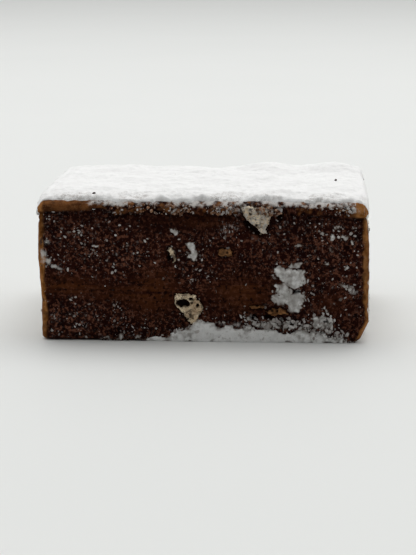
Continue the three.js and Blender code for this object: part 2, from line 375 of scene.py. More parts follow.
def find_lumps():
    """Tan nuts, amber nuts and patches of each face: the front's from the lists, the others' by rule."""
    draws = seeded_draws(OTHER_SEED)
    rng = np.random.default_rng(LUMP_DRAWS)
    tan, amber, patches = {FRONT: NUTS}, {FRONT: AMBER_NUTS}, {FRONT: PATCHES}
    for side in (RIGHT, BACK, LEFT):
        lumps = scatter(side, NUT_COLUMNS, NUT_SIZE, draws)
        nuts = [(nut_outline(lump, rng), OTHER_NUT_POWDER) for lump in lumps]
        tan[side], amber[side] = nuts[:2], nuts[2:]
        clumps = scatter(side, CLUMP_COLUMNS, CLUMP_SIZE, draws)
        patches[side] = [part for clump in clumps for part in break_up(clump, rng)]
        patches[side] += [small_patch(side, rng) for _ in range(SMALL_PATCHES)]
    return tan, amber, patches


TAN_ON, AMBER_ON, PATCHES_ON = find_lumps()


def lean(p):
    """Not quite square: both ends are farther right at the foot, and the lower right edge is worn."""
    x, z = p[:, 0], p[:, 2]
    low = 1 - z / HEIGHT
    moved = p.copy()
    moved[:, 0] += np.where(x < 0, -LEFT_LEAN, RIGHT_FLARE) * low * 2 * x / WIDTH
    near_right = smooth(x, WIDTH / 2 - WORN_REACH, WIDTH / 2)
    moved[:, 0] -= WORN_OUT * near_right * np.maximum(0, 1 - z / WORN_HEIGHT)
    return moved


def plain_face(side, a, z):
    """Points on one of the four faces before its relief."""
    d = LENGTH[side - 1] / 2
    x, y = [(a, -d), (d, a), (-a, d), (-d, -a)][side]
    one = np.ones(len(a))
    return np.column_stack([x * one, y * one, z * one])


def on_face(side, a, z, out):
    """Places on a face, that far out from the plain face."""
    return lean(plain_face(side, a, z) + np.asarray(out)[..., None] * OUTWARD[side])


def apart(a, z, side, gap):
    """Places on a face laid flat, that far from the next face's, so that each has its own noise."""
    return np.column_stack(np.broadcast_arrays(a, z, gap * side))


def rounding(turned):
    """How far the rounded top edge draws back, at that share of the way round it."""
    return TOP_RADIUS * (1 - np.sqrt(1 - np.clip(turned, 0, 1) ** 2))


def edge_fall(z):
    """How far the face draws back as it turns over the rounded top edge."""
    return rounding((z - HEIGHT + TOP_RADIUS) / TOP_RADIUS)


# Relief of the chocolate

RIM_EDGE = 0.08
GROOVE_DEPTH, GROOVE_REACH = 0.16, 0.2
PORE_DEPTH, GAP_DEPTH, SEAT_DEPTH = 0.14, 0.75, 0.2
# Length of the knife's marks along each axis
LEVEL_MARKS, UPRIGHT_MARKS = (7, 7, 0.5), (0.8, 0.8, 9)
# How crumbly the other faces' rims are, and how much sugar lies on rims
OTHER_CRUMBLY = 0.45
RIM_DUST, OTHER_RIM_DUST = 0.3, 0.5


def crumbliness(side, a):
    """How crumbly the rim is: smooth near the front's two ends, and crumbly between."""
    if side != FRONT:
        return np.full(len(a), OTHER_CRUMBLY)
    return smooth(a, *CRUMBLY_FROM) * (1 - smooth(a, *CRUMBLY_TO))


def rim_dust(side, a):
    if side != FRONT:
        return np.full(len(a), OTHER_RIM_DUST)
    return np.clip(RIM_DUST + spots(a, 0, [(x, 0, reach, 1, g) for x, reach, g in RIM_DUSTY]), 0, 1)


def face_wave(side, p):
    return CUT_WAVE * wander(p[:, 0] if side in (FRONT, BACK) else p[:, 1], p[:, 2], CUT_WAVE_LENGTH)


def rim_relief(side, p, a):
    """How far the rim and the groove below it stand out, and where rim, its foot, crumbs and groove are."""
    z = p[:, 2]
    level = p * [1, 1, 0]
    crumbly = crumbliness(side, a)
    down = np.interp(a, RIM_X, RIM_DOWN) if side == FRONT else RIM_HEIGHT
    uneven = 0.25 * noise(level, 1.7, 11) + 0.25 * noise(level, 0.55, 12)
    low = HEIGHT - down + crumbly * uneven
    rim = smooth(z, low - RIM_EDGE, low + RIM_EDGE)
    crumbs = clods(p, 0.6, 14)
    proud = RIM_OUT if side == FRONT else RIM_OUT * smooth(z, HEIGHT - 0.4, HEIGHT - 0.9)
    lumps = 0.16 * fractal(p, 0.9, 2, 13) + 0.22 * (crumbs - 0.4)
    groove = np.exp(-(((z - low + GROOVE_REACH) / GROOVE_REACH) ** 2))
    return rim * (proud + crumbly * lumps) - GROOVE_DEPTH * groove, rim, low, crumbs, groove


def rim_caramel(side, p, a, rim, low, crumbs):
    """How far the rim has the colour of caramel: less where it crumbles, and less towards its foot as
    painted shade, so that its top edge looks lit.
    """
    melted = smooth(crumbs + 0.35 * fractal(p * [1, 1, 0], 1.1, 3, 75), 0.2, 0.6)
    caramel = rim * (1 - crumbliness(side, a) * (1 - melted))
    # Painted light: the caramel is fullest at the top edge and fades towards the rim's foot
    return caramel * (0.6 + 0.4 * smooth(p[:, 2], low, low + 1.0))


def rim_frost(side, p, a):
    """Sugar that has come down over the top of the front's rim."""
    if side != FRONT:
        return np.zeros(len(p))
    frost = np.interp(a, FROST_X, FROST) * smooth(p[:, 2], HEIGHT - 0.95, HEIGHT - 0.25)
    return frost * np.clip(1 + 0.9 * fractal(p * [1, 1, 0], 0.9, 3, 76), 0, 1.5)


def fine_sugar(side, p, a):
    """Loose dust on a face, warm smears clear of it, and a haze, in upright streaks on the two ends."""
    z = p[:, 2]
    if side == FRONT:
        dust = 0.4 + spots(a, z, DUSTY) - spots(a, z, SMOOTH)
        warm = 1.2 * spots(a, z, SMOOTH)
        haze = spots(a, z, SMUDGES) * np.clip(0.9 + 0.6 * fractal(p, 0.7, 3, 48), 0, 1.4)
    elif side == BACK:
        dust = 0.6 + 0.5 * noise(p, 5, 43)
        warm = smooth(noise(p, 6, 45), 0, 0.6)
        haze = 0.25 * smooth(noise(p, 4, 46), 0.1, 0.8)
    else:
        dust = np.full(len(p), 0.45)
        warm = 0.4 * smooth(noise(p, 5, 45), 0, 0.6)
        haze = 1.12 + 0.3 * fractal(p, (1.0, 1.0, 9), 3, 41) + 0.2 * noise(p, 5, 47)
    return np.clip(dust, 0.04, 1), np.clip(warm, 0, 1), haze


def chocolate_relief(side, p, a):
    """How far the chocolate stands out from its plain face, and what else its material needs to know."""
    z = p[:, 2]
    out, rim, rim_low, crumbs, groove = rim_relief(side, p, a)

    # Long waves, a fine crumb, pores, and the knife's marks, which are upright on the ends
    out = out + face_wave(side, p)
    out = out + 0.05 * fractal(p, 2.4, 3, 21) + 0.05 * fractal(p, 0.6, 2, 24)
    marks = LEVEL_MARKS if side in (FRONT, BACK) else UPRIGHT_MARKS
    out = out + 0.03 * fractal(p, marks, 2, 27)
    pores = smooth(clods(p, 1.3, 31), 0.62, 0.85) * (1 - rim)
    out = out - PORE_DEPTH * pores

    # Gaps and seats under the nuts, sunk in, with painted shade in them and beneath the front's rim
    shaded_hollow, shaded = np.zeros(len(p)), np.zeros(len(p))
    if side == FRONT:
        shaded_hollow = smooth(ellipse_field(a, z, HOLES) + 0.12 * noise(p, 0.35, 51), -0.06, 0.16)
        shaded_hollow = shaded_hollow * smooth(z, HEIGHT - 0.5, HEIGHT - 1.0)
        # Painted shade beneath the front's rim, darker nearer the rim
        shaded = 0.35 * smooth(z, HEIGHT - 5, HEIGHT - 2) * (1 - rim)
    seat = smooth(nuts_field(a, z, TAN_ON[side] + AMBER_ON[side]), -0.25, 0.0)
    out = out - GAP_DEPTH * shaded_hollow - SEAT_DEPTH * seat * (1 - shaded_hollow)

    dust, warm, haze = fine_sugar(side, p, a)
    specks = 0.5 * crumbliness(side, a) * rim_dust(side, a)
    return {
        "out": out,
        "caramel": rim_caramel(side, p, a, rim, rim_low, crumbs),
        "dust": np.where(rim > 0.5, specks, dust),
        "warm": warm,
        # Painted shade: black in the gaps, pores, seats under the nuts, the groove and beneath the front's
        # rim
        "shaded_hollow": np.max([shaded_hollow, 0.5 * pores, 0.7 * seat, 0.75 * groove, shaded], axis=0),
        "haze": np.clip(np.maximum(haze, rim_frost(side, p, a)), 0, 1),
        "cool": np.full(len(p), float(side == FRONT)),
    }


# Meshes and pieces


def add_object(name, data):
    made = bpy.data.objects.new(name, data)
    bpy.context.collection.objects.link(made)
    return made


def add_piece(name, points, faces, fields, material):
    """A piece from points in millimetres, in the block's own place; faces are rows of any lengths."""
    mesh = bpy.data.meshes.new(name)
    mesh.from_pydata(((points + CENTRED_BY) * MM).tolist(), [], faces)
    mesh.validate()
    mesh.polygons.foreach_set("use_smooth", np.ones(len(mesh.polygons), bool))
    for key, values in fields.items():
        data = mesh.attributes.new(key, "FLOAT", "POINT").data
        data.foreach_set("value", np.asarray(values, np.float32))
    mesh.materials.append(material)
    piece = add_object(name, mesh)
    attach(piece, "root")
    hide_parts("meltaway")


def grid_quads(rows, columns):
    index = np.arange(rows * columns).reshape(rows, columns)
    corners = [index[:-1, :-1], index[:-1, 1:], index[1:, 1:], index[1:, :-1]]
    return np.stack(corners, axis=-1).reshape(-1, 4)


def close_sheet(quads, count):
    """Quads that back a sheet with a second layer of as many points and join the two all round."""
    edges = np.concatenate([quads[:, [i, (i + 1) % 4]] for i in range(4)])
    ahead, back = edges[:, 0] * count + edges[:, 1], edges[:, 1] * count + edges[:, 0]
    rim = edges[~np.isin(ahead, back)]
    sides = np.column_stack([rim[:, 1], rim[:, 0], rim[:, 0] + count, rim[:, 1] + count])
    return np.concatenate([quads, quads[:, ::-1] + count, sides])


def trim(quads, keep, *values):
    """The values of the points in quads that touch a point to keep, and those quads."""
    used, quads = np.unique(quads[keep[quads].any(axis=1)], return_inverse=True)
    return *(v[used] for v in values), quads.reshape(-1, 4)


def face_grid(side, step, nearness):
    """A fine grid over the part of a face where nearness is above 0: places along and up, and quads."""
    half = LENGTH[side] / 2 - GRID_ENDS
    across, up = np.arange(-half, half, step), np.arange(GRID_FOOT, HEIGHT - GRID_TOP, step)
    a, z = (g.ravel() for g in np.meshgrid(across, up))
    quads = grid_quads(len(up), len(across))
    return trim(quads, nearness(a, z) > 0, a, z)


class Gathered:
    """Many small meshes gathered into one, with the values of some fields at every point."""

    def __init__(self):
        self.points, self.faces, self.fields = [], [], []
        self.count = 0

    def gather(self, points, faces, **fields):
        self.points.append(points)
        self.faces.append(faces + self.count)
        self.fields.append(fields)
        self.count += len(points)

    def add_piece(self, name, material, slot):
        points, faces = np.concatenate(self.points), np.concatenate(self.faces).tolist()
        fields = {key: np.concatenate([f[key] for f in self.fields]) for key in self.fields[0]}
        add_piece(name, points, faces, fields, material)


class Sheets(Gathered):
    """Thin closed sheets on the faces of the block."""

    def put(self, side, a, z, out, under, quads, **fields):
        """A sheet that far out from the plain face, backed by one further in."""
        points = np.concatenate([on_face(side, a, z, out), on_face(side, a, z, under)])
        fields = {key: np.tile(values, 2) for key, values in fields.items()}
        self.gather(points, close_sheet(quads, len(a)), **fields)


def ball(subdivisions):
    bm = bmesh.new()
    bmesh.ops.create_icosphere(bm, subdivisions=subdivisions, radius=1.0)
    points = np.array([v.co[:] for v in bm.verts])
    faces = np.array([[v.index for v in f.verts] for f in bm.faces])
    bm.free()
    return points, faces


class Bits(Gathered):
    """Small uneven lumps, each with a tone."""

    # A direction that no face looks in
    ASKEW = (0.3, 0.5, 0.8)

    def __init__(self, seed, subdivisions):
        super().__init__()
        self.rng = np.random.default_rng(seed)
        self.ball_points, self.ball_faces = ball(subdivisions)

    def put(self, centres, outward, sizes, flat, tones):
        """Lumps lying along a face: flat is their thickness beside their width."""
        rng, count, corners = self.rng, len(centres), len(self.ball_points)
        shape = self.ball_points[None] * (0.55 + 0.6 * rng.random((count, corners, 1)))
        wide, narrow = 0.7 + 0.7 * rng.random(count) ** 2, 0.4 + 0.4 * rng.random(count)
        shape = shape * np.column_stack([wide, narrow, np.full(count, flat)])[:, None]
        across = np.cross(outward, self.ASKEW)
        across = across / np.linalg.norm(across)
        up = np.cross(outward, across)
        turn = 2 * np.pi * rng.random((count, 1))
        first = np.cos(turn) * across + np.sin(turn) * up
        second = np.cos(turn) * up - np.sin(turn) * across
        axes = np.stack([first, second, np.tile(outward, (count, 1))], axis=1)
        placed = np.einsum("nki,nij->nkj", shape, axes) * (np.asarray(sizes)[:, None, None] / 2)
        starts = (np.arange(count) * corners)[:, None, None]
        self.gather(
            (centres[:, None] + placed).reshape(-1, 3),
            (self.ball_faces[None] + starts).reshape(-1, 3),
            tone=np.repeat(tones, corners),
        )

    def put_on(self, side, a, z, out, size, flat, tone):
        """Lumps on a face; size and tone are each the least, the spread, and a power that favours less."""
        sizes = size[0] + size[1] * self.rng.random(len(a)) ** size[2]
        tones = tone[0] + tone[1] * self.rng.random(len(a)) ** tone[2]
        self.put(on_face(side, a, z, out), OUTWARD[side], sizes, flat, tones)


# Materials

# Colours as red, green and blue
# Black painted as shade in gaps, pores, pits and grooves
SHADE_BLACK = (0.005, 0.0012, 0.0009)
NEAR_BLACK, DEEP_RED = (0.0105, 0.0018, 0.0013), (0.021, 0.0045, 0.0026)
SMEARED_BROWN, PALE_CRUMB = (0.078, 0.0235, 0.0072), (0.192, 0.074, 0.044)
DARK_CARAMEL, CARAMEL, PALE_CARAMEL = (0.056, 0.0185, 0.0056), (0.20, 0.077, 0.0235), (0.30, 0.16, 0.07)
# Painted highlight of the rounded upright edges, dim and bright
DARK_EDGE_HIGHLIGHT, EDGE_HIGHLIGHT = (0.185, 0.067, 0.0135), (0.40, 0.18, 0.060)
DARK_BEIGE, BEIGE = (0.49, 0.405, 0.345), (0.67, 0.625, 0.58)
DARK_HAZE, HAZE = (0.44, 0.42, 0.40), (0.70, 0.68, 0.66)
LOOSE_SUGAR = (0.60, 0.56, 0.53)
SHADED_SUGAR, WHITE_SUGAR = (0.87, 0.87, 0.865), (0.925, 0.925, 0.92)
BARED_SUGAR, TOP_SPECK = (0.33, 0.295, 0.27), (0.16, 0.10, 0.07)
THIN_CRUST, GREY_CRUST, WHITE_CRUST = (0.07, 0.040, 0.029), (0.36, 0.34, 0.32), (0.88, 0.88, 0.87)
RUBBED_CRUST, PITTED_CRUST = (0.22, 0.185, 0.16), (0.15, 0.11, 0.09)
DARK_GRAIN, PALE_GRAIN = (0.09, 0.057, 0.042), (0.76, 0.74, 0.72)
DARK_BIT, PALE_BIT, DUSTED_BIT = (0.030, 0.0075, 0.004), (0.30, 0.155, 0.085), (0.46, 0.40, 0.35)
DEEP_TAN, TAN = (0.64, 0.46, 0.28), (0.97, 0.81, 0.57)
DEEP_AMBER, AMBER = (0.18, 0.08, 0.028), (0.38, 0.185, 0.075)
NUT_SMEAR, NUT_PIT, NUT_POWDER = (0.050, 0.022, 0.010), (0.10, 0.05, 0.022), (0.56, 0.53, 0.49)
DIM_FLOOR, FLOOR = (0.742, 0.755, 0.742), (0.762, 0.772, 0.760)


class Shader:
    """Nodes of a material or of the world, added one call at a time; sizes are in millimetres."""

    def __init__(self, owner, output):
        owner.use_nodes = True
        self.owner, self.tree = owner, owner.node_tree
        self.tree.nodes.clear()
        self.output = self.add(output)
        self.places = self.add("ShaderNodeTexCoord").outputs
        self.place = self.places["Object"]

    def add(self, kind, inputs=None, **settings):
        node = self.tree.nodes.new(kind)
        for key, value in settings.items():
            setattr(node, key, value)
        for key, value in (inputs or {}).items():
            self.feed(node.inputs[key], value)
        return node

    def feed(self, socket, value):
        if isinstance(value, bpy.types.NodeSocket):
            self.tree.links.new(value, socket)
        else:
            socket.default_value = value

    def attribute(self, name):
        return self.add("ShaderNodeAttribute", attribute_name=name).outputs["Fac"]

    def vector(self, operation, a, b):
        return self.add("ShaderNodeVectorMath", {0: a, 1: b}, operation=operation).outputs

    def noise(self, size, detail=3.0, rough=0.55, stretch=None):
        place = self.vector("MULTIPLY", self.place, stretch)[0] if stretch else self.place
        inputs = {"Vector": place, "Scale": 1 / (size * MM), "Detail": detail, "Roughness": rough}
        return self.add("ShaderNodeTexNoise", inputs).outputs["Fac"]

    def bent_place(self, size, by):
        """The place, pushed about so that cells lose their straight edges."""
        inputs = {"Vector": self.place, "Scale": 1 / (size * MM), "Detail": 3.0}
        push = self.vector("ADD", self.add("ShaderNodeTexNoise", inputs).outputs["Color"], (-0.5,) * 3)[0]
        return self.vector("ADD", self.place, self.vector("MULTIPLY", push, (by * MM,) * 3)[0])[0]

    def cells(self, size, place=None):
        """Distance from the middle of scattered cells, and three draws for each cell."""
        node = self.add("ShaderNodeTexVoronoi", {"Vector": place or self.place, "Scale": 1 / (size * MM)})
        draws = self.add("ShaderNodeSeparateColor", {"Color": node.outputs["Color"]})
        return node.outputs["Distance"], draws.outputs

    def math(self, operation, a, b=0.0, clamp=False):
        return self.add("ShaderNodeMath", {0: a, 1: b}, operation=operation, use_clamp=clamp).outputs[0]

    def times(self, a, b, clamp=False):
        return self.math("MULTIPLY", a, b, clamp)

    def plus(self, a, b, clamp=False):
        return self.math("ADD", a, b, clamp)

    def minus(self, a, b):
        return self.math("SUBTRACT", a, b)

    def ramp(self, value, low, high, to_low=0.0, to_high=1.0):
        inputs = {"Value": value, "From Min": low, "From Max": high, "To Min": to_low, "To Max": to_high}
        return self.add("ShaderNodeMapRange", inputs, interpolation_type="SMOOTHSTEP").outputs["Result"]

    def mix(self, amount, a, b):
        node = self.add("ShaderNodeMix", data_type="RGBA")
        sockets = {socket.identifier: socket for socket in node.inputs}
        self.feed(sockets["Factor_Float"], amount)
        for key, colour in (("A_Color", a), ("B_Color", b)):
            self.feed(sockets[key], (*colour, 1.0) if isinstance(colour, tuple) else colour)
        return next(socket for socket in node.outputs if socket.identifier == "Result_Color")

    def layer(self, below, value, low, high, colour, most=1.0):
        """A colour over what is below: none of it where the value is low, and the most where it is high."""
        return self.mix(self.ramp(value, low, high, 0.0, most), below, colour)

    def surface(self, kind, inputs):
        self.tree.links.new(self.add(kind, inputs).outputs[0], self.output.inputs["Surface"])
        return self.owner

    def finish(self, colour, rough, shine, bumps=None, deep=0.0, strength=0.0):
        inputs = {"Base Color": colour, "Roughness": rough, "Specular IOR Level": shine}
        if bumps is not None:
            bump = {"Height": bumps, "Distance": deep * MM, "Strength": strength}
            inputs["Normal"] = self.add("ShaderNodeBump", bump).outputs["Normal"]
        return self.surface("ShaderNodeBsdfPrincipled", inputs)


def new_shader(name):
    return Shader(bpy.data.materials.new(name), "ShaderNodeOutputMaterial")


def bare_chocolate(s, dust, fine):
    """Nearly black chocolate, redder in places, with a crumb, pores, a rim like caramel and painted
    highlights on its upright edges.
    """
    medium = s.noise(0.9, 5)
    dark = s.layer(NEAR_BLACK, s.noise(3.2, 4), 0.35, 0.65, DEEP_RED)

    # Warm brown where the knife smeared it, then paler bits, and pores painted black as the shade inside
    # them
    drag = s.noise(1.0, 4, 0.6, (0.12, 0.12, 2.2))
    warm = s.times(s.attribute("warm"), s.ramp(drag, 0.25, 0.6), clamp=True)
    smeared = s.mix(warm, dark, SMEARED_BROWN)
    crumb_amount = s.plus(s.times(dust, 0.8), 0.3, clamp=True)
    crumb_there = s.ramp(s.noise(0.36, 2.5, 0.65), 0.48, 0.66, 0.0, 0.9)
    crumbly = s.mix(s.times(crumb_there, crumb_amount), smeared, PALE_CRUMB)
    pored = s.layer(crumbly, s.noise(0.42, 2.5, 0.6), 0.46, 0.32, SHADE_BLACK, 0.9)

    plain_caramel = s.layer(DARK_CARAMEL, medium, 0.3, 0.7, CARAMEL)
    caramel = s.layer(plain_caramel, fine, 0.5, 0.7, PALE_CARAMEL, 0.45)
    rimmed = s.mix(s.attribute("caramel"), pored, caramel)
    # Painted highlight on the upright edges, as if their rounding caught the light from the sides
    painted_edge = s.layer(DARK_EDGE_HIGHLIGHT, medium, 0.35, 0.65, EDGE_HIGHLIGHT)
    edged = s.mix(s.attribute("edge"), rimmed, painted_edge)
    # Painted shade in the gaps, pores, seats under the nuts and groove, and beneath the front's rim
    return s.mix(s.attribute("shaded_hollow"), edged, SHADE_BLACK)


def sugar_haze(s, fine):
    """How thick the haze of sugar is, and its colour: upright beige streaks, but cool on the front."""
    grit = s.times(s.minus(s.noise(0.3, 5, 0.75, (1.0, 1.0, 0.5)), 0.5), 1.3)
    thick = s.ramp(s.plus(s.attribute("haze"), grit), 0.3, 0.75, 0.0, 0.92)
    upright = s.plus(s.noise(1.6, 4, 0.6, (1.0, 1.0, 0.16)), s.noise(2.5, 4, 0.6))
    beige = s.layer(DARK_BEIGE, upright, 0.78, 1.24, BEIGE)
    return thick, s.mix(s.attribute("cool"), beige, s.mix(fine, DARK_HAZE, HAZE))


def loose_sugar(s, dust):
    """Specks, motes and a few thin curls of sugar, more of them where the dust lies thick."""
    bent_place = s.bent_place(0.45, 0.5)
    speck_far, speck_draws = s.cells(0.4, bent_place)
    speck_size = s.ramp(speck_draws[1], 0.0, 1.0, 0.1, 0.38)
    speck_there = s.math("LESS_THAN", speck_draws[0], s.times(dust, 0.34))
    speck = s.times(speck_there, s.ramp(s.minus(speck_size, speck_far), -0.05, 0.05))
    bright = s.ramp(s.math("POWER", speck_draws[2], 1.6), 0.0, 1.0, 0.1, 0.85)

    mote_far, mote_draws = s.cells(0.17, bent_place)
    mote_there = s.math("LESS_THAN", mote_draws[0], s.times(dust, 0.5))
    mote = s.times(mote_there, s.ramp(mote_far, 0.45, 0.2))

    line = s.ramp(s.math("ABSOLUTE", s.minus(s.noise(1.7, 2), 0.5)), 0.03, 0.008)
    curl_there = s.times(s.ramp(s.noise(1.0, 2.5), 0.6, 0.68), dust)
    curl = s.times(s.times(line, curl_there), 0.3)
    faint = s.math("MAXIMUM", s.times(mote, 0.1), curl)
    return s.math("MAXIMUM", faint, s.times(speck, bright), clamp=True)


def chocolate_material():
    s = new_shader("chocolate")
    dust, fine = s.attribute("dust"), s.noise(0.2, 4, 0.65)
    haze, haze_colour = sugar_haze(s, fine)
    hazed = s.mix(haze, bare_chocolate(s, dust, fine), haze_colour)
    powder = loose_sugar(s, dust)
    cover = s.math("MAXIMUM", powder, haze, clamp=True)
    bumps = s.plus(s.times(fine, 0.6), s.times(powder, 0.7))
    colour, rough = s.mix(powder, hazed, LOOSE_SUGAR), s.ramp(cover, 0.0, 0.7, 0.6, 0.95)
    return s.finish(colour, rough, shine=0.02, bumps=bumps, deep=0.06, strength=0.7)


def sugar_material():
    s = new_shader("sugar")
    fine, medium = s.noise(0.16, 4, 0.7), s.noise(0.7, 5, 0.6)
    far, draws = s.cells(0.5)
    speck = s.times(s.math("LESS_THAN", draws[0], 0.0015), s.ramp(far, 0.3, 0.15))
    white = s.layer(SHADED_SUGAR, medium, 0.3, 0.75, WHITE_SUGAR)
    bare = s.times(s.attribute("thin"), s.ramp(s.plus(fine, medium), 0.9, 1.14))
    grey = s.mix(s.times(bare, 0.62), white, BARED_SUGAR)
    colour = s.mix(s.times(speck, 0.7), grey, TOP_SPECK)
    bumps = s.plus(fine, s.times(medium, 0.8))
    return s.finish(colour, rough=0.95, shine=0.2, bumps=bumps, deep=0.08, strength=0.7)


def crust_material():
    s = new_shader("sugar_crust")
    tone = s.attribute("tone")
    fine, medium = s.noise(0.14, 4, 0.7), s.noise(0.6, 4, 0.6)
    thin = s.layer(THIN_CRUST, tone, 0.0, 0.4, GREY_CRUST)
    white = s.layer(thin, tone, 0.25, 1.1, WHITE_CRUST)
    rubbed = s.layer(white, medium, 0.54, 0.7, RUBBED_CRUST, 0.5)
    colour = s.layer(rubbed, fine, 0.42, 0.30, PITTED_CRUST, 0.5)
    bumps = s.plus(fine, medium)
    return s.finish(colour, rough=0.95, shine=0.1, bumps=bumps, deep=0.07, strength=0.8)


def grain_material():
    s = new_shader("sugar_grains")
    colour = s.mix(s.attribute("tone"), DARK_GRAIN, PALE_GRAIN)
    bumps = s.noise(0.12, 3)
    return s.finish(colour, rough=0.95, shine=0.1, bumps=bumps, deep=0.05, strength=0.6)


def crumb_material():
    s = new_shader("chocolate_crumbs")
    medium = s.noise(0.25, 3)
    brown = s.layer(DARK_BIT, s.attribute("tone"), 0.1, 0.9, PALE_BIT)
    dusted = s.layer(brown, medium, 0.5, 0.68, DUSTED_BIT, 0.6)
    return s.finish(dusted, rough=0.8, shine=0.1, bumps=medium, deep=0.06, strength=0.7)


def nut_material(name, deep, pale, smear):
    s = new_shader(name)
    medium, fine = s.noise(0.7, 5, 0.65), s.noise(0.18, 4, 0.65)
    paleness = s.plus(s.times(medium, 0.75), s.times(s.attribute("facet"), 0.25))
    plain = s.layer(deep, paleness, 0.36, 0.66, pale)
    powder = s.times(s.attribute("powder"), s.ramp(s.noise(0.3, 5, 0.7), 0.36, 0.6))
    powdered = s.mix(powder, plain, NUT_POWDER)
    pitted = s.layer(powdered, s.noise(0.28, 4, 0.65), 0.48, 0.36, NUT_PIT, 0.65)
    smeared = s.layer(pitted, s.noise(0.7, 4, 0.65), 0.54, 0.6, NUT_SMEAR, smear)
    # Painted shade in the holes and pits
    colour = s.mix(s.attribute("shaded_hollow"), smeared, SHADE_BLACK)
    bumps = s.plus(fine, medium)
    return s.finish(colour, rough=0.75, shine=0.1, bumps=bumps, deep=0.1, strength=0.8)


# The block of chocolate

# Insets of the rings on the base and on the top, rows up the wall, and steps round each rounded edge
BASE_INSETS, TOP_INSETS = (12, 8, 5, 3, 1.9, 1.2), (1.6, 2.4, 4, 7, 11)
WALL_ROWS, BASE_BENDS, TOP_BENDS, CORNER_BENDS = 99, 5, 12, 9
# How far in a ring keeps its shape before it closes in on the middle
KEEP_SHAPE = 0.8


def plan_outline():
    """Core points and outward normals once round the plan of the block, from its front left corner."""
    hx, hy = WIDTH / 2 - CORNER, DEPTH / 2 - CORNER
    corners = [(-hx, -hy), (hx, -hy), (hx, hy), (-hx, hy)]
    core, normal = [], []
    for side, step in enumerate(BODY_STEPS):
        a, b = np.array(corners[side]), np.array(corners[(side + 1) % 4])
        heading = math.pi / 2 * (side - 1)
        for t in np.linspace(0, 1, round(np.linalg.norm(b - a) / step) + 1):
            core.append(a + (b - a) * t)
            normal.append((math.cos(heading), math.sin(heading)))
        for k in range(1, CORNER_BENDS):
            angle = heading + math.pi / 2 * k / CORNER_BENDS
            core.append(b)
            normal.append((math.cos(angle), math.sin(angle)))
    return np.array(core), np.array(normal)


def body_rows():
    """Inset, height, and how far the surface looks outward, from mid-base to mid-top."""
    rows = [(inset, 0.0, 0.0) for inset in BASE_INSETS]
    for k in range(1, BASE_BENDS):
        a = math.pi / 2 * k / BASE_BENDS
        rows.append((CORNER * (1 - math.sin(a)), BASE_RADIUS * (1 - math.cos(a)), math.sin(a)))
    rows += [(0.0, z, 1.0) for z in np.linspace(BASE_RADIUS, HEIGHT - TOP_RADIUS, WALL_ROWS)]
    for k in range(1, TOP_BENDS + 1):
        a = math.pi / 2 * k / TOP_BENDS
        rows.append((TOP_RADIUS * (1 - math.cos(a)), HEIGHT - TOP_RADIUS * (1 - math.sin(a)), math.cos(a)))
    return rows + [(inset, HEIGHT, 0.0) for inset in TOP_INSETS]


def body_rings(core, normal, rows):
    """Points of the plain block in rings, and the way that its relief moves them."""
    columns = len(core)
    # The rings close in on a line along the middle of the base and of the top
    reach = (WIDTH - DEPTH) / 2
    spine = np.column_stack([np.clip(core[:, 0], -reach, reach), np.zeros(columns)])
    points, outward = [], []
    for inset, z, out in rows:
        ring = core + normal * (CORNER - min(inset, KEEP_SHAPE))
        ring = ring + (spine - ring) * max(0, inset - KEEP_SHAPE) / (DEPTH / 2 - KEEP_SHAPE)
        points.append(np.column_stack([ring, np.full(columns, z)]))
        outward.append(np.column_stack([normal * out, np.zeros(columns)]))
    return np.concatenate(points), np.concatenate(outward)


def bare_highlit_edges(p, side, a, turned):
    """How bare of haze the block is along its upright edges, where a highlight is painted, and how much
    haze is left beside them.
    """
    from_edge = np.take(LENGTH, side) / 2 - CORNER - np.abs(a) - CORNER * turned
    uneven = 0.15 * noise(p, 1.6, 71) + 0.16 * noise(p, 0.5, 72)
    uneven = uneven - np.where(p[:, 0] > 0, 0.1, 0.2)
    edge = smooth(from_edge + uneven, -0.25, -0.55)
    edge = edge * np.clip(0.75 + 0.4 * noise(p, 2.2, 73), 0, 1)
    # The right end of the front's rim gets the same painted highlight
    right_end = smooth(a, 17.2, 17.9) * smooth(p[:, 2], HEIGHT - 1.9, HEIGHT - 1.5)
    edge = np.maximum(edge, np.where(side == FRONT, 0.85 * right_end, 0))
    return edge, np.where(side == FRONT, 1, smooth(from_edge + uneven, -0.5, -0.1))


def build_body():
    core, normal = plan_outline()
    rows = body_rows()
    p, outward = body_rings(core, normal, rows)
    belongs = np.stack([-normal[:, 1], normal[:, 0], normal[:, 1], -normal[:, 0]], axis=1)
    side = np.argmax(belongs, axis=1)
    along = np.choose(side, [core[:, 0], core[:, 1], -core[:, 0], -core[:, 1]])
    turned = np.arccos(np.clip(np.max(np.abs(normal), axis=1), 0, 1))
    side, a, turned = (np.tile(values, len(rows)) for values in (side, along, turned))

    fields = {}
    for k in range(4):
        here = side == k
        for key, values in chocolate_relief(k, p[here], a[here]).items():
            fields.setdefault(key, np.zeros(len(p)))[here] = values
    fields["edge"], haze_left = bare_highlit_edges(p, side, a, turned)
    fields["dust"] *= 1 - fields["edge"]
    fields["haze"] *= haze_left
    p = lean(p + outward * fields.pop("out")[:, None])
    p[:, 2] = np.maximum(p[:, 2], 0)

    index = np.arange(len(p)).reshape(len(rows), len(core))
    low, high = index[:-1], index[1:]
    quads = np.stack([low, np.roll(low, -1, 1), np.roll(high, -1, 1), high], axis=-1).reshape(-1, 4)
    caps = [index[0][::-1].tolist(), index[-1].tolist()]
    add_piece("chocolate_block", p, quads.tolist() + caps, fields, chocolate_material())


# The sugar on top

# How far the coat hangs over the edges, and how far behind the front face its grid starts
OVERHANG, SUGAR_START = 0.1, 0.3
# The coat's hidden underside: how its outline is drawn in, and how far below the block's top it is
UNDER_SCALE, UNDER_DROP = (0.93, 0.91, 0), 1.9


def top_height(inset):
    """Height of the chocolate under the sugar, falling away over the rounded top edge."""
    return HEIGHT - rounding(1 - inset / TOP_RADIUS)


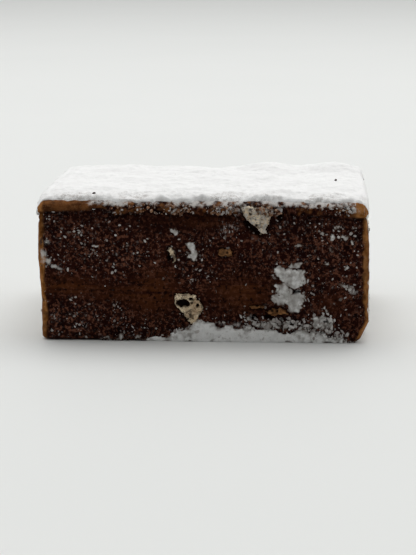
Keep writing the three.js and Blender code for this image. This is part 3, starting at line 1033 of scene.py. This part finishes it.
def sugar_grid():
    """A grid over the top: places, how far inside the block's outline they are, rows and columns."""
    hx, hy = WIDTH / 2 + OVERHANG, DEPTH / 2 + OVERHANG
    xs = np.linspace(-hx, hx, round(2 * hx / SUGAR_STEP) + 1)
    ys = np.linspace(SUGAR_START - DEPTH / 2, hy, round(2 * hy / SUGAR_STEP) + 1)
    x, y = (g.ravel() for g in np.meshgrid(xs, ys))
    # Square corners are drawn in to round ones
    qx, qy = np.abs(x) - (WIDTH / 2 - CORNER), np.abs(y) - (DEPTH / 2 - CORNER)
    corner = (qx > 0) & (qy > 0)
    far = np.where(corner, np.hypot(qx, qy), 1)
    pull = np.where(corner, np.maximum(qx, qy) / far, 1)
    x = np.where(corner, np.sign(x) * (WIDTH / 2 - CORNER + qx * pull), x)
    y = np.where(corner, np.sign(y) * (DEPTH / 2 - CORNER + qy * pull), y)
    inset = CORNER - np.where(corner, np.hypot(qx, qy) * pull, np.maximum(qx, qy))
    return x, y, inset, len(ys), len(xs)


def pushed_out(a, half, b):
    """How far the coat's edge goes out with the rim and the waves of the face below it."""
    by_edge = smooth(np.abs(a), half - 2.5, half - 0.3)
    return by_edge * (RIM_OUT + CUT_WAVE * wander(b, HEIGHT, CUT_WAVE_LENGTH))


def powder_relief(flat, near_front):
    """The lumpy surface of the powder, with more clods near the front."""
    clodded = smooth(noise(flat, 3.5, 88), -0.2, 0.5)
    powder = 0.1 * fractal(flat, 1.7, 3, 84) + 0.16 * clods(flat, 1.3, 87) * clodded
    lip = 0.2 * clods(flat, 0.6, 92) + 0.08 * fractal(flat, 0.9, 2, 95)
    return powder + 0.06 * fractal(flat, 0.5, 2, 91) + near_front * lip


def build_sugar():
    """The coat of sugar, which ends short of the front's rim and hangs over the other edges."""
    x, y, inset, rows, columns = sugar_grid()
    flat = np.column_stack([x, y, np.zeros(len(x))])
    from_front = y + DEPTH / 2
    at_front, near_front = smooth(from_front, 3, 1), smooth(from_front, 8, 2)
    ragged = 0.35 * noise(flat, 2.2, 81) + 0.32 * noise(flat, 0.7, 82)
    ragged = ragged + 0.24 * noise(flat, 0.35, 83)
    inside = np.minimum(inset + 0.1 - 0.2 * ragged, from_front - 0.72 - 0.75 * ragged)
    powder = powder_relief(flat, near_front)
    depth = np.maximum(sugar_depth(x, y), 0.3 - 0.2 * at_front) + powder + heaped(x, y, LOOSE_HEAPS)
    thick = smooth(inside, -0.02, 0.4)
    sunk = 0.12 + 0.45 * at_front * smooth(-inside, 0.0, 0.3)
    z = top_height(inset + 0.26 * (1 - at_front)) - sunk + (sunk + np.maximum(depth, 0.08)) * thick
    across = pushed_out(x, WIDTH / 2, y) * smooth(from_front, 0.5, 1.5)
    along = pushed_out(y, DEPTH / 2, x) * np.where(y < 0, thick, 1)
    top = np.column_stack([x + np.sign(x) * across, y + np.sign(y) * along, z])

    index = np.arange(rows * columns).reshape(rows, columns)
    ring = np.concatenate([index[0, :-1], index[:-1, -1], index[-1, :0:-1], index[:0:-1, 0]])
    under = top[ring] * UNDER_SCALE + [0, 0, HEIGHT - UNDER_DROP]
    base = len(top) + np.arange(len(ring))
    skirt = np.stack([ring, base, np.roll(base, -1), np.roll(ring, -1)], axis=-1)
    faces = grid_quads(rows, columns).tolist() + skirt.tolist() + [base[::-1].tolist()]
    patchy = noise(flat, 2.6, 93) + 0.5 * noise(flat, 0.8, 94)
    thin = (1 - smooth(inside, 0.3, 6.0)) * near_front * (0.25 + 0.75 * smooth(patchy, -0.25, 0.5))
    fields = {"thin": np.concatenate([thin, np.zeros(len(ring))])}
    add_piece("sugar_top", np.concatenate([top, under]), faces, fields, sugar_material())


# Sugar and crumbs stuck to the faces

# How far the edges of sheets are bent and over what size
CRUST_BENDS = [(0.3, 1.1), (0.2, 0.42), (0.1, 0.18)]
NUT_BENDS = [(0.24, 0.7), (0.16, 0.3), (0.08, 0.14)]
# Size of the crust's flakes, patches large enough to break into them, and the sheet's height, seat and back
CRUST_FLAKE, FLAKING_FROM = 0.6, 1.25
CRUST_HEIGHT, CRUST_SEAT, CRUST_BACK = 0.16, 0.07, 0.2
# Tries for grains on a face and along a rim, and for crumbs along the front's rim and along another
FACE_TRIES, RIM_TRIES = 7500, 3200
FRONT_CRUMB_TRIES, CRUMB_TRIES = 900, 300
# How far apart the faces are laid for the noise of sheets and of grains
SHEET_GAP, GRAIN_GAP = 7.0, 9.0


def chocolate_out(side, a, z):
    """How far the chocolate stands out from its plain face at those places."""
    return chocolate_relief(side, plain_face(side, a, z), a)["out"]


def put_crust(sheets, side):
    seed = 60 + 20 * side
    shapes, smears = PATCHES_ON[side], SMEARS if side == FRONT else []
    step = FRONT_CRUST_STEP if side == FRONT else CRUST_STEP
    a, z, quads = face_grid(side, step, lambda a, z: ellipse_field(a, z, shapes + smears) + 0.5)
    flat = apart(a, z, side, SHEET_GAP)

    # Patches, the larger ones broken into flakes along their edges, and streaky smears
    bent_a, bent_z = bent(a, flat, CRUST_BENDS, seed), bent(z, flat, CRUST_BENDS, seed + 3)
    middle, draw, edge = flakes(bent_a, bent_z, CRUST_FLAKE, seed + 6)
    large = [shape for shape in shapes if min(shape[2:4]) > FLAKING_FROM]
    flake = ellipse_field(middle[:, 0], middle[:, 1], large) + 0.25 * (draw - 0.5) - 0.03
    whole = ellipse_field(bent_a, bent_z, shapes)
    inside = np.maximum(whole, np.where(flake > 0, 0.5, -0.5) * edge)
    streak = noise(flat, (2.5, 0.3, 1), seed + 12)
    smear = ellipse_field(bent_a, bent_z, smears) + 0.06 * streak
    thick = np.maximum(smooth(inside, -0.03, 0.12), smooth(smear, -0.05, 0.5))
    inside = np.maximum(inside, smear)
    a, z, flat, thick, draw, inside, streak, smear, quads = trim(
        quads, thick > 0, a, z, flat, thick, draw, inside, streak, smear
    )

    # Its lumps, and how white it is
    crumbled = spots(a, z, CRUMBLED) if side == FRONT else 0
    crumb = smooth(clods(flat, 0.6, seed + 13), 0.1, 0.6)
    lumps = 0.06 * draw + 0.08 * fractal(flat, 0.8, 3, seed + 9) + crumbled * 0.35 * (crumb - 0.4)
    clodded = smooth(clods(flat, 0.8, seed + 16), 0.35, 0.75)
    mottle = fractal(flat, 0.5, 3, seed + 15) + 0.8 * clodded - 0.25
    tone = 0.61 * smooth(inside, 0.0, 0.22) + 0.15 * (draw - 0.5) + 0.32 * mottle
    tone = tone - 0.3 * crumbled * (1 - crumb)
    blotch = 0.14 * streak + 0.3 * fractal(flat, 1.3, 3, seed + 18)
    tone = tone + smooth(smear, 0.1, 0.6) * 0.5 + smooth(smear, -0.1, 0.2) * blotch
    if side in (RIGHT, LEFT):
        tone = np.maximum(tone, 0.5)
    under = chocolate_out(side, a, z) - edge_fall(z)
    out = under + thick * (CRUST_HEIGHT + lumps) - CRUST_SEAT
    sheets.put(side, a, z, out, under - CRUST_BACK, quads, tone=np.clip(tone, 0, 1.1))


def build_crust():
    """Sugar pressed onto the faces in flat flakes with broken edges, and smeared along the front's foot."""
    sheets = Sheets()
    for side in range(4):
        put_crust(sheets, side)
    sheets.add_piece("sugar_crust", crust_material(), "sugar")


def rim_places(rng, side, tries):
    """Places scattered along the crumbly stretches of a rim, and how far out the rim is there."""
    half = LENGTH[side] / 2
    a = (rng.random(tries) - 0.5) * (LENGTH[side] - 2 * CORNER)
    gather = noise(apart(a, 0, side, GRAIN_GAP), 2.5, 97)
    chance = crumbliness(side, a) * smooth(gather, -0.8, 0.5)
    if side != FRONT:
        chance = chance * smooth(np.abs(a), half - 1.5, half - 3)
    a = a[rng.random(tries) < chance]
    z = HEIGHT - 0.25 - 1.15 * rng.random(len(a))
    proud = RIM_OUT if side == FRONT else 0.3 * RIM_OUT
    return a, z, proud - edge_fall(z)


def put_face_grains(grains, side):
    """Grains gathered in drifts over a face, and round the front's patches."""
    rng = grains.rng
    a = (rng.random(FACE_TRIES) - 0.5) * (LENGTH[side] - 2 * CORNER)
    z = 0.4 + rng.random(FACE_TRIES) * (HEIGHT - 1.9)
    where = apart(a, z, side, GRAIN_GAP)
    gather = noise(where, 1.6, 95) + 0.6 * noise(where, 0.6, 96) + 0.9 * noise(where, 0.3, 97)
    want = np.full(FACE_TRIES, 0.35 if side == BACK else 0.5)
    if side == FRONT:
        want = np.clip(0.2 + spots(a, z, DUSTY) - spots(a, z, SMOOTH), 0.02, 1)
        want = np.maximum(want, 0.8 * smooth(ellipse_field(a, z, PATCHES + SMEARS), -0.45, 0.0))
    keep = rng.random(FACE_TRIES) < want * smooth(gather, -0.1, 0.9)
    a, z = a[keep], z[keep]
    out = chocolate_out(side, a, z) + 0.02
    tone = (0.05, 0.8, 1.8) if side in (FRONT, BACK) else (0.62, 0.32, 1.8)
    grains.put_on(side, a, z, out, size=(0.12, 0.5, 4), flat=0.45, tone=tone)


def put_rim_grains(grains, side):
    rng = grains.rng
    a, z, out = rim_places(rng, side, RIM_TRIES)
    keep = rng.random(len(a)) < 0.4 * rim_dust(side, a)
    a, z, out = a[keep], z[keep], out[keep] + 0.12
    grains.put_on(side, a, z, out, size=(0.14, 0.4, 2.5), flat=0.8, tone=(0.2, 0.5, 1))


def put_heaped_grains(grains, x, up, reach_x, reach_z, count):
    rng = grains.rng
    a, z = x + reach_x * rng.normal(size=count), up + reach_z * rng.normal(size=count)
    # None below the foot, past the worn lower right edge or over the top
    keep = (z > 0.25) & ((a < 16.2) | (z > 3)) & (z < HEIGHT - 0.2)
    a, z = a[keep], z[keep]
    out = chocolate_out(FRONT, a, z) + 0.14 * rng.random(len(a)) - edge_fall(z)
    grains.put_on(FRONT, a, z, out, size=(0.25, 0.65, 2), flat=0.7, tone=(0.3, 0.5, 1))


def build_grains():
    """Grains of sugar on the faces and the rim, and in heaps on the front."""
    grains = Bits(GRAIN_DRAWS, 1)
    for side in range(4):
        put_face_grains(grains, side)
        put_rim_grains(grains, side)
    for heap in HEAPED:
        put_heaped_grains(grains, *heap)
    grains.add_piece("sugar_grains", grain_material(), "sugar")


def build_crumbs():
    """Crumbs of chocolate along the rim, and a few on the sugar."""
    crumbs = Bits(CRUMB_DRAWS, 2)
    for side in range(4):
        a, z, out = rim_places(crumbs.rng, side, FRONT_CRUMB_TRIES if side == FRONT else CRUMB_TRIES)
        crumbs.put_on(side, a, z, out - 0.03, size=(0.24, 0.6, 2), flat=0.7, tone=(0, 1, 1))
    x, y, sizes = np.array(TOP_CRUMBS).T
    z = HEIGHT + sugar_depth(x, y) + 0.12
    crumbs.put(np.column_stack([x, y, z]), np.array([0, 0, 1.0]), sizes, flat=0.6, tones=np.zeros(len(x)))
    crumbs.add_piece("chocolate_crumbs", crumb_material(), "chocolate")


# Pieces of nut

# Size of the broken facets, and how deep the sheet is seated, how high it stands and how far in its back is
NUT_FACET = 0.85
NUT_SEAT, NUT_HEIGHT, NUT_BACK = 0.3, 0.44, 1.3


def put_nuts(sheets, side, nuts, seed, ragged):
    a, z, quads = face_grid(side, NUT_STEP, lambda a, z: nuts_field(a, z, nuts) + 0.4)
    flat = apart(a, z, side, SHEET_GAP)
    bent_a = bent(a, flat, NUT_BENDS, seed, ragged)
    bent_z = bent(z, flat, NUT_BENDS, seed + 20, ragged)
    thick = smooth(nuts_field(bent_a, bent_z, nuts), -0.03, 0.16)
    a, z, flat, bent_a, bent_z, thick, quads = trim(quads, thick > 0, a, z, flat, bent_a, bent_z, thick)

    middle, draw, edge = flakes(bent_a, bent_z, NUT_FACET, seed + 4)
    tilt = 2 * np.pi * draw
    facet = (bent_a - middle[:, 0]) * np.cos(tilt) + (bent_z - middle[:, 1]) * np.sin(tilt)
    rough = 0.3 * facet + 0.08 * fractal(flat, 0.7, 3, seed + 7) - 0.1 * (1 - smooth(edge, 0.0, 0.15))
    shaded_hollow = np.zeros(len(a))
    if side == FRONT:
        shaded_hollow = smooth(ellipse_field(a, z, HOLES) + 0.12 * noise(flat, 0.4, seed + 11), -0.06, 0.12)
    pitted = smooth(clods(flat, 0.8, seed + 12), 0.6, 0.8)
    wave = face_wave(side, plain_face(side, a, z))
    height = thick * (NUT_HEIGHT + rough - 0.15 * pitted)
    out = wave - edge_fall(z) - NUT_SEAT + height - 0.7 * shaded_hollow
    powder = np.max([amount * (polygon_field(a, z, corners) > -0.4) for corners, amount in nuts], axis=0)
    # Painted shade in the nuts' holes and pits
    dark = np.maximum(shaded_hollow, 0.8 * pitted)
    sheets.put(side, a, z, out, wave - NUT_BACK, quads, powder=powder, facet=draw, shaded_hollow=dark)


def build_nuts(name, nuts_on, material, seed, ragged):
    """Chopped nut cut about level with the faces that it shows in, with a broken, faceted surface."""
    sheets = Sheets()
    for side, nuts in nuts_on.items():
        put_nuts(sheets, side, nuts, seed, ragged)
    sheets.add_piece(name, material, "nut")


def build_all_nuts():
    pale = nut_material("nut", DEEP_TAN, TAN, smear=0.75)
    build_nuts("nut_bits", TAN_ON, pale, seed=101, ragged=0.75)
    dark = nut_material("amber_nut", DEEP_AMBER, AMBER, smear=0.6)
    build_nuts("amber_nut_bits", AMBER_ON, dark, seed=131, ragged=0.5)


# Floor, light and camera, in metres

FLOOR_HALF = 12.0
# The room: where it is brightest, and its colour
BRIGHT_WAY, ROOM_COLOUR = (0.0, 0.72, 0.69), (1.0, 1.0, 0.99, 1)
# Soft lights that face the block: name, place, size and watts
LIGHTS = [
    ("softbox_above", (0.05, 0.3, 0.8), 0.7, 3.2),
    ("softbox_left", (-0.7, 0.0, 0.35), 0.5, 0.6),
    ("softbox_right", (0.7, 0.0, 0.35), 0.5, 0.6),
]
CAMERA_PLACE, CAMERA_AIM = Vector((0.0112, -0.2216, 0.0475)), Vector((0.0003, -0.010, 0.0066))
LENS, SENSOR = 119.0, 36.0
CLIP_START, CLIP_END = 0.01, 60


def build_stage():
    s = new_shader("floor")
    tone = s.mix(s.noise(60, 2), DIM_FLOOR, FLOOR)
    mesh = bpy.data.meshes.new("floor")
    corners = [(x * FLOOR_HALF, y * FLOOR_HALF, 0) for x, y in ((-1, -1), (1, -1), (1, 1), (-1, 1))]
    mesh.from_pydata(corners, [], [(0, 1, 2, 3)])
    mesh.materials.append(s.finish(tone, rough=0.7, shine=0.5))
    floor = add_object("floor", mesh)


def build_room():
    """A bright room above and behind, dimmer on the camera's side."""
    world = bpy.data.worlds.new("room")
    bpy.context.scene.world = world
    s = Shader(world, "ShaderNodeOutputWorld")
    toward = s.vector("DOT_PRODUCT", s.places["Generated"], Vector(BRIGHT_WAY).normalized())["Value"]
    strength = s.ramp(toward, -0.3, 0.8, 0.1, 0.85)
    s.surface("ShaderNodeBackground", {"Color": ROOM_COLOUR, "Strength": strength})


def turned_to(way):
    return way.to_track_quat("-Z", "Y").to_euler()


def build_lights():
    for name, place, size, watts in LIGHTS:
        data = bpy.data.lights.new(name, "AREA")
        data.shape, data.size, data.energy = "SQUARE", size, watts
        light = add_object(name, data)
        light.location = place
        light.rotation_euler = turned_to(-Vector(place))


def build_camera():
    data = bpy.data.cameras.new("camera")
    data.lens, data.sensor_width = LENS, SENSOR
    data.clip_start, data.clip_end = CLIP_START, CLIP_END
    camera = add_object("camera", data)
    camera.location = CAMERA_PLACE
    camera.rotation_euler = turned_to(CAMERA_AIM - camera.location)
    bpy.context.scene.camera = camera


build_body()
build_sugar()
build_crust()
build_grains()
build_crumbs()
build_all_nuts()
build_stage()
build_room()
build_lights()
build_camera()
bpy.context.scene.view_settings.view_transform = "Standard"
